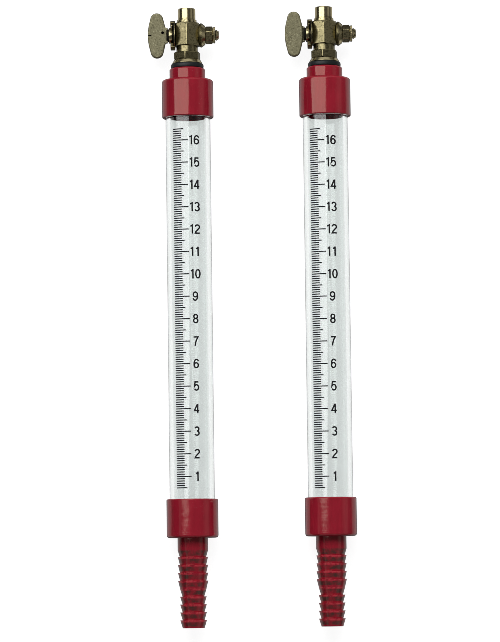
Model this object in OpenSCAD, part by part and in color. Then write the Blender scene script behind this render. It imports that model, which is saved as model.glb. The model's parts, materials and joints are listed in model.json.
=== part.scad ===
// A pair of water level sight gauges lying side by side on a flat surface.
// Each gauge is a clear graduated tube between two red caps, with a barbed
// hose tail at the lower end and a brass plug cock at the upper end.
// Sizes are in millimetres, +Z is up, and each gauge points along +Y.

/* [Pair] */
// Distance between the centre lines of the two gauges
gauge_spacing = 61.6; // [45:0.1:200]

/* [Sight tube] */
// Outer diameter of the clear tube
tube_d = 20; // [17:0.1:26]
// Wall of the clear tube
tube_wall = 2; // [1:0.1:2.4]
// Length of tube that shows between the caps
sight_length = 170.8; // [80:0.1:400]
// Length of tube inside each cap
tube_insertion = 12; // [6:0.1:24]

/* [Caps] */
// Wall of a cap around the tube
cap_wall = 1.45; // [1:0.05:4]
// Thickness of a cap's closed end
cap_end_wall = 3.7; // [2.5:0.1:8]
// Radius of the rounded edge at a cap's closed end
cap_rounding = 1.2; // [0.3:0.1:2]
// Chamfer around a cap's open rim
cap_rim_chamfer = 0.4; // [0.1:0.05:0.8]
// Thickness of the rubber ring behind the tube's end
tube_seal_thickness = 1.5; // [0.8:0.1:3]

/* [Hose tail] */
// Diameter of the plain collar under the lower cap
collar_d = 13.5; // [12:0.1:16]
// Length of the plain collar
collar_length = 5.5; // [2:0.1:12]
// Length of the tapered waist between the collar and the first barb
waist_length = 3; // [1:0.1:6]
// Distance from one barb to the next
barb_pitch = 3.5; // [2:0.1:6]
// Number of large barbs, next to the collar
large_barbs = 4; // [1:1:8]
// Number of small barbs, at the hose end
small_barbs = 5; // [1:1:8]
// Diameter at the edge of a large barb
large_barb_d = 13.4; // [12:0.1:16]
// Diameter at the root of a large barb
large_root_d = 11.7; // [11:0.1:11.9]
// Diameter at the edge of a small barb
small_barb_d = 11.8; // [10.5:0.1:11.9]
// Diameter at the root of a small barb
small_root_d = 9.7; // [9:0.1:10.4]
// Bore of the hose tail
tail_bore = 6.5; // [4:0.1:7.5]
// Wall of the spigot that is cemented into the lower cap
tail_spigot_wall = 2.25; // [1.2:0.05:2.5]

/* [Neck bush] */
// Diameter of the bush on the upper cap
bush_d = 16; // [15:0.1:20]
// Height of the bush above the cap
bush_height = 5.2; // [3:0.1:12]
// Chamfer around the top of the bush
bush_chamfer = 0.6; // [0.1:0.05:0.8]
// Wall of the spigot that is cemented into the upper cap
bush_wall = 1.55; // [1:0.05:2]

/* [Sealing washer] */
// Diameter of the rubber washer under the cock
sealing_washer_d = 14.7; // [13:0.1:16]
// Thickness of the rubber washer
sealing_washer_thickness = 2.1; // [1:0.1:4]

/* [Cock body] */
// Diameter of the screwed end of the cock
screw_d = 9.7; // [8:0.1:10.5]
// Length of the screwed end below the flange
screw_length = 8.5; // [6:0.1:10]
// Largest diameter of the flange
flange_d = 13.6; // [12.8:0.1:15]
// Diameter of the flange where it meets the hexagon
flange_top_d = 11.8; // [11:0.1:12.4]
// Height of the flange
flange_height = 1.8; // [1:0.1:3]
// Width across the flats of the hexagon bar
hex_width = 11; // [10:0.1:12]
// Height of the spanner hexagon
hex_height = 3.5; // [2:0.1:4.5]
// Angle that the spanner hexagon's front corner is turned towards the key
spanner_turn = 7.5; // [0:0.5:30]
// Diameter of the turned neck above the spanner hexagon
neck_d = 9.6; // [8:0.1:10]
// Height of the key's axis above the underside of the flange
key_axis_height = 13; // [12.6:0.1:18]
// Reach of the hexagon block below the key's axis
block_below = 5; // [4.8:0.1:5.8]
// Reach of the hexagon block above the key's axis
block_above = 5.5; // [5:0.1:9]
// Turned edge on the block's top corners, measured along the block
block_top_chamfer = 1.6; // [0.4:0.1:2]
// Turned edge on the hexagon's other corners, measured along the block
hex_chamfer = 0.4; // [0.1:0.05:0.6]
// Diameter of the shoulder under the vent port
shoulder_d = 8.8; // [8.4:0.1:10]
// Height of the shoulder
shoulder_height = 1.4; // [0.5:0.1:3]
// Diameter of the vent port
port_d = 7.8; // [7:0.1:8.2]
// Length of the vent port
port_length = 5.2; // [3:0.1:15]
// Bore of the water way
flow_bore = 4; // [2.5:0.1:4.6]
// Diameter of the stop rim on the key's side
rim_d = 13.2; // [12:0.1:15]
// Width of the stop rim, with its floor
rim_width = 2.4; // [2:0.1:4]
// Thickness of the rim's floor, which closes it towards the block
rim_floor = 0.6; // [0.3:0.1:0.7]
// Diameter of the turned boss on the nut's side
boss_d = 11; // [10:0.1:12]
// Width of the turned boss
boss_width = 1; // [0.4:0.1:3]

/* [Key] */
// Angle between the key's open and closed stops
key_travel = 90; // [60:1:90]
// Diameter of the tapered plug at the paddle's end
plug_large_d = 8; // [7.4:0.1:8.4]
// Diameter of the tapered plug at the nut's end
plug_small_d = 6.4; // [5.8:0.1:6.8]
// Wall of the barrel that holds the plug, where it stands out of the hexagon
barrel_wall = 0.8; // [0.6:0.1:1]
// How far the plug stops short of the boss's face
plug_setback = 0.4; // [0.1:0.05:0.9]
// Diameter of the key's round neck
key_neck_d = 7.6; // [7:0.1:8]
// Gap between the stop rim and the paddle
paddle_gap = 0.6; // [0.3:0.1:4]
// Height of the oval paddle
paddle_height = 20.3; // [16:0.1:22]
// Width of the oval paddle
paddle_width = 8.2; // [7:0.1:11]
// Radius of the paddle's round ends
paddle_end_r = 2.9; // [2:0.1:3.2]
// Thickness of the paddle
paddle_thickness = 3; // [2:0.1:4]
// Bevel around both faces of the paddle
paddle_bevel = 0.5; // [0.2:0.05:0.7]
// Length of the web between the paddle and the round neck
web_length = 0.9; // [0.5:0.1:4]
// Height of the web
web_height = 6.8; // [5:0.1:7]
// Thickness of the web
web_thickness = 2.2; // [1.5:0.1:2.4]
// Radius of the hollow corners beside the web
web_fillet = 1.35; // [0.5:0.05:2]
// Diameter of the drilled mark and width of the nick on the paddle
mark_size = 1.2; // [0.6:0.1:2]
// Depth of the drilled mark
mark_depth = 0.8; // [0.3:0.1:1]
// Diameter of the stop pin
stop_pin_d = 1.2; // [0.8:0.1:1.6]
// Length of the stop pin inside the key
stop_pin_seat = 2; // [1:0.1:2.6]
// How far the stop pin ends short of the rim's outside
stop_pin_inset = 0.6; // [0.1:0.1:1.5]

/* [Nuts] */
// Diameter of the key's screwed stud
stud_d = 5; // [3.5:0.1:5.2]
// Length of stud that shows past the lock nut
stud_end = 1.6; // [0.5:0.1:6]
// Chamfer at the end of the stud
stud_chamfer = 0.5; // [0.1:0.05:0.8]
// Diameter of the dished washer at its rim
dished_washer_d = 11; // [10:0.1:12.5]
// Diameter of the dished washer at its crown
dished_crown_d = 8.4; // [7.6:0.1:9.6]
// Height of the dished washer
dished_height = 1.7; // [1.2:0.1:3]
// Sheet thickness of the dished washer
dished_sheet = 0.8; // [0.4:0.1:1.1]
// Width across the flats of both nuts
nut_width = 7; // [6.4:0.1:9]
// Height of the nut
nut_height = 3.3; // [2:0.1:6]
// Height of the thin lock nut
lock_nut_height = 1.2; // [0.8:0.1:3]
// Angle that the nut's corners are turned from the vertical
nut_turn = 43; // [0:1:59]
// Angle that the lock nut's corners are turned from the nut's
lock_nut_turn = 20; // [0:1:59]

/* [Clearances] */
// Gap of a cemented or pressed joint
cement_gap = 0.05; // [0.01:0.01:0.1]
// Gap that stands for a screw thread
thread_gap = 0.08; // [0.02:0.01:0.15]
// Running gap around the tapered plug
plug_gap = 0.05; // [0.02:0.01:0.1]
// Gap around pieces that turn past each other
swing_gap = 0.3; // [0.1:0.05:0.5]

/* [Hidden] */
$fn = 96;
// Overlap of cutting shapes past the faces that they open
cut = 1;
// Overlap of shapes that are one piece of metal
fuse = 0.2;

BRASS = [0.71, 0.60, 0.36];
CAST_BRASS = [0.60, 0.56, 0.40];
RED = [0.60, 0.07, 0.15];
CLEAR = [0.86, 0.90, 0.91, 0.45];
RUBBER = [0.07, 0.08, 0.08];

tube_bore = tube_d - 2 * tube_wall;
tube_length = sight_length + 2 * tube_insertion;
socket_d = tube_d + 2 * cement_gap;
socket_depth = tube_insertion + tube_seal_thickness;
cap_d = socket_d + 2 * cap_wall;
cap_length = socket_depth + cap_end_wall;
screw_hole_d = screw_d + 2 * thread_gap;
bush_spigot_d = screw_hole_d + 2 * bush_wall;
tail_spigot_d = tail_bore + 2 * tail_spigot_wall;
spigot_length = cap_end_wall - cement_gap;
stud_hole_d = stud_d + 2 * thread_gap;
nut_edge = nut_width * (1 / sqrt(3) - 1 / 2) * tan(30);

// Heights along a gauge, from the lower cap's closed end
tail_end_z = -(collar_length + waist_length + (large_barbs + small_barbs) * barb_pitch);
tube_z = cap_length - tube_insertion;
upper_cap_z = cap_length + sight_length;
bush_z = upper_cap_z + cap_length;
sealing_washer_z = bush_z + bush_height;
flange_z = sealing_washer_z + sealing_washer_thickness;
hex_z = flange_z + flange_height;
neck_z = hex_z + hex_height;
key_z = flange_z + key_axis_height;
block_z = key_z - block_below;
shoulder_z = key_z + block_above;
port_z = shoulder_z + shoulder_height;
top_z = port_z + port_length;

// Places along the key's axis, from the gauge's centre line towards the nuts
block_x = -hex_width / 2;
rim_x = block_x - rim_width;
plug_x = block_x - rim_floor;
key_neck_x = rim_x - paddle_gap;
paddle_x = key_neck_x - web_length - paddle_width / 2;
boss_x = hex_width / 2;
boss_end_x = boss_x + boss_width;
plug_end_x = boss_end_x - plug_setback;
dished_washer_x = boss_end_x + plug_gap;
nut_x = dished_washer_x + dished_height;
lock_nut_x = nut_x + nut_height;
stud_end_x = lock_nut_x + lock_nut_height + stud_end;
paddle_reach = paddle_width / 2 - paddle_x;

// The stop rim's window lets the pin swing through the key's travel
rim_bore_r = max(key_neck_d, plug_large_d) / 2 + swing_gap;
pin_half_angle = asin((stop_pin_d / 2 + swing_gap) / rim_bore_r);
window_half_angle = key_travel / 2 + pin_half_angle;
pin_open_angle = -90 - key_travel / 2;
stop_pin_x = (rim_x + plug_x) / 2;

// The pair is centred on the origin and rests on its caps
pair_shift = (paddle_reach - stud_end_x) / 2;
left_x = pair_shift - gauge_spacing / 2;
right_x = pair_shift + gauge_spacing / 2;
middle_z = (top_z + tail_end_z) / 2;

PIECES = [
    "valve_body", "valve_key", "stop_pin", "key_washer", "key_nut", "lock_nut", "sealing_washer",
    "neck_bush", "upper_cap", "upper_tube_seal", "sight_tube", "lower_tube_seal", "lower_cap",
    "hose_tail"
];

// Lays an upright gauge down along +Y, with its front facing up
module lay_down(x) {
    translate([x, -middle_z, cap_d / 2])
        rotate([-90, 0, 0])
            children();
}

// Turns a shape's +Z to the key's axis, towards the nuts
module along_key(x = 0) {
    translate([x, 0, key_z])
        rotate([0, 90, 0])
            children();
}

// A round bar with a turned edge of its own height at each end
module turned_bar(r, start, end, face_r, start_edge, end_edge) {
    rotate_extrude()
        polygon([
            [0, start],
            [face_r, start],
            [r, start + start_edge],
            [r, end - end_edge],
            [face_r, end],
            [0, end]
        ]);
}

// A hexagon bar with a corner to the front and turned edges at its ends
module hex_bar(width, start, end, start_edge, end_edge) {
    corner_r = width / sqrt(3);
    intersection() {
        translate([0, 0, start])
            rotate(30)
                cylinder(r = corner_r, h = end - start, $fn = 6);
        turned_bar(corner_r + plug_gap, start, end, width / 2, start_edge, end_edge);
    }
}

// A ring around the Z axis
module ring(outer_d, inner_d, height) {
    difference() {
        cylinder(d = outer_d, h = height);
        translate([0, 0, -cut])
            cylinder(d = inner_d, h = height + 2 * cut);
    }
}

// The cock's shapes that are turned around the water way
module turned_cock() {
    translate([0, 0, flange_z - screw_length])
        cylinder(d = screw_d, h = screw_length + flange_height);
    translate([0, 0, flange_z])
        cylinder(d1 = flange_d, d2 = flange_top_d, h = flange_height);
    rotate(-spanner_turn)
        hex_bar(hex_width, hex_z, neck_z, 0, hex_chamfer);
    translate([0, 0, hex_z])
        cylinder(d = neck_d, h = block_z - hex_z + hex_chamfer);
    hex_bar(hex_width, block_z, shoulder_z, hex_chamfer, block_top_chamfer);
    translate([0, 0, key_z])
        cylinder(d = shoulder_d, h = port_z - key_z);
    translate([0, 0, key_z])
        cylinder(d = port_d, h = top_z - key_z);
}

// The rim that stops the key, with a window for the stop pin at the front
module stop_rim() {
    difference() {
        cylinder(d = rim_d, h = rim_width + fuse);
        translate([0, 0, -cut])
            cylinder(r = rim_bore_r, h = rim_width - rim_floor + cut);
        translate([0, 0, -cut])
            rotate(-90 - window_half_angle)
                rotate_extrude(angle = 2 * window_half_angle)
                    square([rim_d, rim_width - rim_floor + cut]);
    }
}

// The tapered hole that the key's plug runs in
module plug_hole() {
    cylinder(d1 = plug_large_d + 2 * plug_gap, d2 = plug_small_d + 2 * plug_gap, h = boss_end_x - plug_x);
}

module valve_body() {
    color(BRASS)
        difference() {
            union() {
                turned_cock();
                along_key(block_x)
                    cylinder(d = plug_large_d + 2 * barrel_wall, h = hex_width);
                along_key(boss_x - fuse)
                    cylinder(d = boss_d, h = boss_width + fuse);
                along_key(rim_x)
                    stop_rim();
            }
            along_key(plug_x)
                plug_hole();
            translate([0, 0, flange_z - screw_length - cut])
                cylinder(d = flow_bore, h = top_z - flange_z + screw_length + 2 * cut);
        }
}

// An oval of four arcs that run into each other
module oval(height, width, end_r) {
    half_width = width / 2;
    end_z = height / 2 - end_r;
    side_r = (half_width ^ 2 + end_z ^ 2 - end_r ^ 2) / (2 * (half_width - end_r));
    join_z = end_z * side_r / (side_r - end_r);
    intersection() {
        translate([side_r - half_width, 0])
            circle(side_r);
        translate([half_width - side_r, 0])
            circle(side_r);
        square([width, 2 * join_z], center = true);
    }
    for (side = [-1, 1])
        translate([0, side * end_z])
            circle(end_r);
}

// The paddle's oval plate with a bevel around both faces
module paddle_plate() {
    rim = paddle_thickness - 2 * paddle_bevel;
    hull() {
        linear_extrude(rim, center = true)
            oval(paddle_height, paddle_width, paddle_end_r, $fn = 48);
        linear_extrude(paddle_thickness, center = true)
            oval(paddle_height - 2 * paddle_bevel, paddle_width - 2 * paddle_bevel,
                paddle_end_r - paddle_bevel, $fn = 48);
    }
}

// The web between the paddle and the round neck, with hollow corners
module paddle_web() {
    length = key_neck_x - paddle_x;
    difference() {
        translate([0, -web_height / 2 - web_fillet])
            square([length, web_height + 2 * web_fillet]);
        for (side = [-1, 1])
            translate([length, side * (web_height / 2 + web_fillet)])
                circle(web_fillet);
    }
}

// The paddle stands upright, its front flush with the web and marked
module paddle() {
    front_y = -paddle_thickness / 2;
    nick_width = mark_size / 3;
    translate([paddle_x, 0, key_z])
        rotate([90, 0, 0])
            difference() {
                union() {
                    paddle_plate();
                    translate([0, 0, -front_y - web_thickness])
                        linear_extrude(web_thickness)
                            paddle_web();
                }
                translate([key_neck_x - paddle_x - 2 * mark_size, mark_size, -front_y - mark_depth])
                    cylinder(d = mark_size, h = mark_depth + cut);
                translate([-paddle_width / 2 - mark_size, -nick_width / 2, -front_y - nick_width])
                    cube([2 * mark_size, nick_width, nick_width + cut]);
            }
}

// The stop pin, or the hole that it is pressed into
module stop_pin_shape(d, reach) {
    along_key(stop_pin_x)
        rotate(pin_open_angle)
            translate([key_neck_d / 2 - stop_pin_seat, 0, 0])
                rotate([0, 90, 0])
                    cylinder(d = d, h = reach);
}

// Half a turn of the key brings its plain back to the front
module valve_key(half_turn) {
    color(CAST_BRASS)
        translate([0, 0, key_z])
            rotate([half_turn ? 180 : 0, 0, 0])
                translate([0, 0, -key_z])
                    paddle();
    color(BRASS)
        difference() {
            union() {
                along_key(key_neck_x)
                    cylinder(d = key_neck_d, h = plug_x - key_neck_x);
                along_key(plug_x)
                    plug();
                along_key(plug_end_x - cut)
                    cylinder(d = stud_d, h = stud_end_x - stud_chamfer - plug_end_x + cut);
                along_key(stud_end_x - stud_chamfer)
                    cylinder(d1 = stud_d, d2 = stud_d - 2 * stud_chamfer, h = stud_chamfer);
            }
            translate([0, 0, key_z])
                cylinder(d = flow_bore, h = 2 * plug_large_d, center = true);
            stop_pin_shape(stop_pin_d + 2 * cement_gap, key_neck_d);
        }
}

// The tapered plug, cut short of the boss's face
module plug() {
    length = plug_end_x - plug_x;
    taper = (plug_large_d - plug_small_d) / (boss_end_x - plug_x);
    cylinder(d1 = plug_large_d, d2 = plug_large_d - taper * length, h = length);
}

module stop_pin() {
    color(BRASS)
        stop_pin_shape(stop_pin_d, rim_d / 2 - stop_pin_inset - key_neck_d / 2 + stop_pin_seat);
}

module key_washer() {
    rim_r = dished_washer_d / 2;
    slope = (rim_r - dished_crown_d / 2) / dished_height;
    hollow = dished_height - dished_sheet;
    color(BRASS)
        along_key(dished_washer_x)
            rotate_extrude()
                polygon([
                    [rim_r - dished_sheet, 0],
                    [rim_r, 0],
                    [dished_crown_d / 2, dished_height],
                    [stud_hole_d / 2, dished_height],
                    [stud_hole_d / 2, hollow],
                    [rim_r - dished_sheet - slope * hollow, hollow]
                ]);
}

// A hexagon nut on the key's stud, with its own turned edge at the outer end
module nut(height, turn, end_edge) {
    difference() {
        rotate(turn)
            hex_bar(nut_width, 0, height, nut_edge, end_edge);
        translate([0, 0, -cut])
            cylinder(d = stud_hole_d, h = height + 2 * cut);
    }
}

module key_nut() {
    color(BRASS)
        along_key(nut_x)
            nut(nut_height, nut_turn, nut_edge);
}

module lock_nut() {
    color(BRASS)
        along_key(lock_nut_x)
            nut(lock_nut_height, nut_turn + lock_nut_turn, 0.9 * (lock_nut_height - nut_edge));
}

module sealing_washer() {
    color(RUBBER)
        translate([0, 0, sealing_washer_z])
            ring(sealing_washer_d, screw_hole_d, sealing_washer_thickness);
}

module neck_bush() {
    color(RED)
        difference() {
            union() {
                translate([0, 0, bush_z - spigot_length])
                    cylinder(d = bush_spigot_d, h = spigot_length + bush_chamfer);
                turned_bar(bush_d / 2, bush_z, sealing_washer_z, bush_d / 2 - bush_chamfer, 0, bush_chamfer);
            }
            translate([0, 0, bush_z - spigot_length - cut])
                cylinder(d = screw_hole_d, h = spigot_length + bush_height + 2 * cut);
        }
}

// A cap with its open rim at the bottom and its closed end at the top
module end_cap(hole_d) {
    r = cap_d / 2;
    difference() {
        rotate_extrude() {
            difference() {
                square([r, cap_length - cap_rounding]);
                translate([r, 0])
                    rotate(45)
                        square(cap_rim_chamfer * sqrt(2), center = true);
            }
            square([r - cap_rounding, cap_length]);
            intersection() {
                translate([r - cap_rounding, cap_length - cap_rounding])
                    circle(cap_rounding);
                square([r, cap_length]);
            }
        }
        translate([0, 0, -cut])
            cylinder(d = socket_d, h = socket_depth + cut);
        cylinder(d = hole_d, h = cap_length + cut);
    }
}

module upper_cap() {
    color(RED)
        translate([0, 0, upper_cap_z])
            end_cap(bush_spigot_d + 2 * cement_gap);
}

module lower_cap() {
    color(RED)
        translate([0, 0, cap_length])
            mirror([0, 0, 1])
                end_cap(tail_spigot_d + 2 * cement_gap);
}

module tube_seal(z) {
    color(RUBBER)
        translate([0, 0, z])
            ring(tube_d, tube_bore, tube_seal_thickness);
}

module sight_tube() {
    color(CLEAR)
        translate([0, 0, tube_z])
            ring(tube_d, tube_bore, tube_length);
}

// One barb: a flat shelf towards the cap and a taper towards the hose
module barb(barb_d, root_d) {
    cylinder(d1 = root_d, d2 = barb_d, h = barb_pitch);
}

module hose_tail() {
    waist_z = -collar_length - waist_length;
    color(RED)
        difference() {
            union() {
                translate([0, 0, -collar_length])
                    cylinder(d = tail_spigot_d, h = collar_length + spigot_length);
                translate([0, 0, -collar_length])
                    cylinder(d = collar_d, h = collar_length);
                translate([0, 0, waist_z])
                    cylinder(d1 = large_root_d, d2 = collar_d, h = waist_length);
                for (i = [1 : large_barbs])
                    translate([0, 0, waist_z - i * barb_pitch])
                        barb(large_barb_d, large_root_d);
                for (i = [1 : small_barbs])
                    translate([0, 0, waist_z - (large_barbs + i) * barb_pitch])
                        barb(small_barb_d, small_root_d);
            }
            translate([0, 0, tail_end_z - cut])
                cylinder(d = tail_bore, h = spigot_length - tail_end_z + 2 * cut);
        }
}

lay_down(left_x) valve_body();  // left_valve_body
lay_down(left_x) valve_key(false);  // left_valve_key
lay_down(left_x) stop_pin();  // left_stop_pin
lay_down(left_x) key_washer();  // left_key_washer
lay_down(left_x) key_nut();  // left_key_nut
lay_down(left_x) lock_nut();  // left_lock_nut
lay_down(left_x) sealing_washer();  // left_sealing_washer
lay_down(left_x) neck_bush();  // left_neck_bush
lay_down(left_x) upper_cap();  // left_upper_cap
lay_down(left_x) tube_seal(tube_z + tube_length);  // left_upper_tube_seal
lay_down(left_x) sight_tube();  // left_sight_tube
lay_down(left_x) tube_seal(cap_end_wall);  // left_lower_tube_seal
lay_down(left_x) lower_cap();  // left_lower_cap
lay_down(left_x) hose_tail();  // left_hose_tail

lay_down(right_x) valve_body();  // right_valve_body
lay_down(right_x) valve_key(true);  // right_valve_key
lay_down(right_x) stop_pin();  // right_stop_pin
lay_down(right_x) key_washer();  // right_key_washer
lay_down(right_x) key_nut();  // right_key_nut
lay_down(right_x) lock_nut();  // right_lock_nut
lay_down(right_x) sealing_washer();  // right_sealing_washer
lay_down(right_x) neck_bush();  // right_neck_bush
lay_down(right_x) upper_cap();  // right_upper_cap
lay_down(right_x) tube_seal(tube_z + tube_length);  // right_upper_tube_seal
lay_down(right_x) sight_tube();  // right_sight_tube
lay_down(right_x) tube_seal(cap_end_wall);  // right_lower_tube_seal
lay_down(right_x) lower_cap();  // right_lower_cap
lay_down(right_x) hose_tail();  // right_hose_tail
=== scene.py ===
# %% [markdown]
# A pair of water level sight gauges
#
# Two clear tubes with a centimetre scale lie side by side on a pale table. Each tube sits between two red
# caps, with a barbed hose tail at one end and a brass plug cock at the other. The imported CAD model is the
# frame: every piece below is modelled where its CAD node is, and then takes that node's place.

# %% Load the frame
import json
import math

import bpy
from mathutils import Euler, Matrix, Vector


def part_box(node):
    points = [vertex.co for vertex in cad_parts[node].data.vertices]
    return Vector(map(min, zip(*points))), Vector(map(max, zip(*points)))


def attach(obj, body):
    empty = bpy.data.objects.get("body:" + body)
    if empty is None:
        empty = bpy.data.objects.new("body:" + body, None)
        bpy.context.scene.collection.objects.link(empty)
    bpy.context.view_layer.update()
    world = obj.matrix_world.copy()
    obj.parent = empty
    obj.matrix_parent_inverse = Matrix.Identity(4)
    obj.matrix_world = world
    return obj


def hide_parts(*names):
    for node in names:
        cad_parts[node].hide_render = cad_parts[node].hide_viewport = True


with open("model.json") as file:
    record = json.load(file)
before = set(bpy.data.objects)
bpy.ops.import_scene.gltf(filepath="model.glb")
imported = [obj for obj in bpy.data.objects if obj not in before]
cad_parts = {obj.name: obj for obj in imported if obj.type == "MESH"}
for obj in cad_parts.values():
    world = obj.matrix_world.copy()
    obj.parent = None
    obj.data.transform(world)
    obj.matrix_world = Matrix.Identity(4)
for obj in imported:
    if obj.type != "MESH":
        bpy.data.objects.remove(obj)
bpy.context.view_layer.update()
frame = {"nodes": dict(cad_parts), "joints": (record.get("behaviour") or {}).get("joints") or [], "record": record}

# %% [markdown]
# Measures
#
# A gauge is modelled standing up around the Z axis, in metres, with Z equal to the finished piece's place
# along Y. One matrix then lays it down. A second matrix does the same for what is turned around the key's
# axis, where Z runs from the gauge's centre line towards the nuts. Pieces could be modelled lying down
# instead, but Blender's primitives stand along Z, so this saves a turn for each of them. Both matrices
# are read from the frame.

# %% Centre lines of the left gauge
MM = 0.001
tube_low, tube_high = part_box("left_sight_tube")
tube_middle = (tube_low + tube_high) / 2
key_hinge = next(joint for joint in frame["joints"] if joint["name"] == "left_key_turn")
key_y = key_hinge["pos_m"][1]
gauge_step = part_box("right_sight_tube")[0].x - tube_low.x

LAID_DOWN = Matrix.Translation((tube_middle.x, 0, tube_middle.z)) @ Matrix.Rotation(-math.pi / 2, 4, "X")
ALONG_KEY = LAID_DOWN @ Matrix.Translation((0, 0, key_y)) @ Matrix.Rotation(math.pi / 2, 4, "Y")
print("gauge centre line", tube_middle, "key axis at y", key_y, "step to the other gauge", gauge_step)


def start_clean(piece=None):
    """Leaves nothing selected but this piece, so that the next operator acts on it or a new one."""
    bpy.ops.object.select_all(action="DESELECT")
    if piece:
        piece.select_set(True)
        bpy.context.view_layer.objects.active = piece


# %% [markdown]
# Camera
#
# The photograph looks down on the pair from about a metre and a half, with the lens above the hose tails.
# The cocks at the far end are therefore seen about nine degrees from below. A camera that points straight
# down with a lens shift could frame the pair as well, but the shift would push the pair aside in views from
# other places, so the camera is tilted to point at the middle of the pair instead. The picture's upright is
# the line from the lens to that middle, and as the lens is a little further left, the gauges lean by under a
# degree, as they do in the photograph.

# %% Camera above the hose tails
CAMERA_PLACE = Vector((-3.95, -119.4, 1530.9)) * MM
AIM = Vector((-2.45, -2.4, 11.5)) * MM
LENS = 191.2
FAR_END = 20

start_clean()
bpy.ops.object.camera_add(location=CAMERA_PLACE)
camera = bpy.context.object
camera.rotation_euler = (AIM - CAMERA_PLACE).to_track_quat("-Z", "Y").to_euler()
camera.data.lens = LENS
camera.data.clip_end = FAR_END
bpy.context.scene.camera = camera
print("camera", camera.location, "lens", LENS)

# %% [markdown]
# Table and light
#
# The gauges lie on a white table with hardly a shadow, so the table glows evenly like a light table. A
# white floor could be lit instead, but then the lamps would have to suit the table before the pieces. An
# oval soft box over the left side is seen only in gloss and gives each round piece a light strip left of
# its middle. A low window beyond the cocks lights only what is matt. A dark card on the left gives the
# brass its dark lines. The table is seen only directly and through the clear tubes, or its glow would
# outshine all of these.

# %% Table
FLOOR_SIZE = 12
start_clean()
bpy.ops.mesh.primitive_plane_add(size=FLOOR_SIZE)
floor = bpy.context.object
floor.name = "table"
floor.visible_glossy = False
floor.visible_diffuse = False
print("table", floor.dimensions)


# %% Soft box and low window
def hang_light(name, distance, left, up, width, length, radiance):
    """An oval area light that faces the gauges, some degrees to their left and up from straight above."""
    turn = Euler((-math.radians(up), -math.radians(left), 0))
    place = turn.to_matrix() @ Vector((0, 0, distance))
    bpy.ops.object.light_add(type="AREA", location=place, rotation=turn)
    light = bpy.context.object
    light.name = name
    light.data.shape = "ELLIPSE"
    light.data.size = width
    light.data.size_y = length
    area = math.pi * width * length / 4
    light.data.energy = math.pi * area * radiance
    light.visible_camera = False
    return light


soft_box = hang_light("soft_box", distance=1.85, left=30, up=22.4, width=2.7, length=1.65, radiance=3.2)
soft_box.visible_diffuse = False
low_window = hang_light("low_window", distance=2.4, left=1, up=36, width=2.4, length=1.6, radiance=6.3)
low_window.visible_glossy = False
for lamp in (soft_box, low_window):
    print(lamp.name, lamp.location, "watts", lamp.data.energy)

# %% Dark card
CARD_X = -1.6
CARD_HEIGHT = 0.85
CARD_LENGTH = 4
UPRIGHT = (0, math.pi / 2, 0)
start_clean()
bpy.ops.mesh.primitive_plane_add(size=1, location=(CARD_X, 0, CARD_HEIGHT / 2), rotation=UPRIGHT)
card = bpy.context.object
card.name = "dark_card"
card.scale = (CARD_HEIGHT, CARD_LENGTH, 1)
card.visible_camera = False
card.visible_diffuse = False
card.visible_transmission = False
card.visible_shadow = False
print("dark card at", card.location)

# %% [markdown]
# Shader maths
#
# A finish is built from nodes. Making and linking each one by hand takes several lines and hides what is
# calculated, so a finish is written as sums instead. This class wraps one socket: adding, taking away or
# multiplying two of them adds the Math node, and add() makes every other node.


# %% A socket that can be calculated with
class Socket:
    """One output socket in a node tree."""

    def __init__(self, tree, output):
        self.tree = tree
        self.output = output

    def add(self, kind, settings, sockets, output=0):
        """A node of this kind, with its settings first and then its sockets' values or links."""
        node = self.tree.nodes.new(kind)
        for name, value in settings.items():
            if name == "stops":
                set_stops(node.color_ramp, value)
            else:
                setattr(node, name, value)
        fill_sockets(node, sockets)
        return Socket(self.tree, node.outputs[output])

    def math(self, operation, first, second):
        """A Math node on two values or sockets."""
        return self.add("ShaderNodeMath", {"operation": operation}, {0: first, 1: second})

    def __add__(self, other):
        return self.math("ADD", self, other)

    __radd__ = __add__

    def __sub__(self, other):
        return self.math("SUBTRACT", self, other)

    def __rsub__(self, other):
        return self.math("SUBTRACT", other, self)

    def __mul__(self, other):
        return self.math("MULTIPLY", self, other)

    __rmul__ = __mul__


# %% Sockets, greys and stops
def fill_sockets(node, values):
    """Gives a node's input sockets their values, or links them to what was calculated."""
    for name, value in values.items():
        if isinstance(value, Socket):
            value.tree.links.new(value.output, node.inputs[name])
        else:
            node.inputs[name].default_value = value


def grey(level):
    """A grey colour for a shader's socket."""
    return (level, level, level, 1)


def set_stops(ramp, stops):
    """Gives a colour ramp its stops, each a place and a grey level."""
    while len(ramp.elements) < len(stops):
        ramp.elements.new(1)
    for element, (place, level) in zip(ramp.elements, stops):
        element.position = place
        element.color = grey(level)


# %% A new finish
def new_finish(name):
    """A material, its shader and the object coordinates that its patterns read."""
    material = bpy.data.materials.new(name)
    material.use_nodes = True
    tree = material.node_tree
    shader = tree.nodes["Principled BSDF"]
    coordinates = Socket(tree, tree.nodes.new("ShaderNodeTexCoord").outputs["Object"])
    return material, shader, coordinates


# %% Patterns and masks
def noise(where, scale, detail=3.0, roughness=0.5):
    """Soft random grey between 0 and 1, with features about 1 / scale metres wide."""
    sockets = {"Vector": where, "Scale": scale, "Detail": detail, "Roughness": roughness}
    return where.add("ShaderNodeTexNoise", {}, sockets)


def axis_part(where, axis):
    """One of the three coordinates, named by its axis."""
    return where.add("ShaderNodeSeparateXYZ", {}, {"Vector": where}, output="XYZ".index(axis))


def stretch(where, factors):
    """The same coordinates, squeezed or drawn out along each axis."""
    return where.add("ShaderNodeMapping", {}, {"Vector": where, "Scale": factors})


def sharpen(value, low, high):
    """Turns a soft grey into a mask that goes from 0 at low to 1 at high."""
    return value.add("ShaderNodeMapRange", {"interpolation_type": "SMOOTHSTEP"}, {0: value, 1: low, 2: high})


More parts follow.
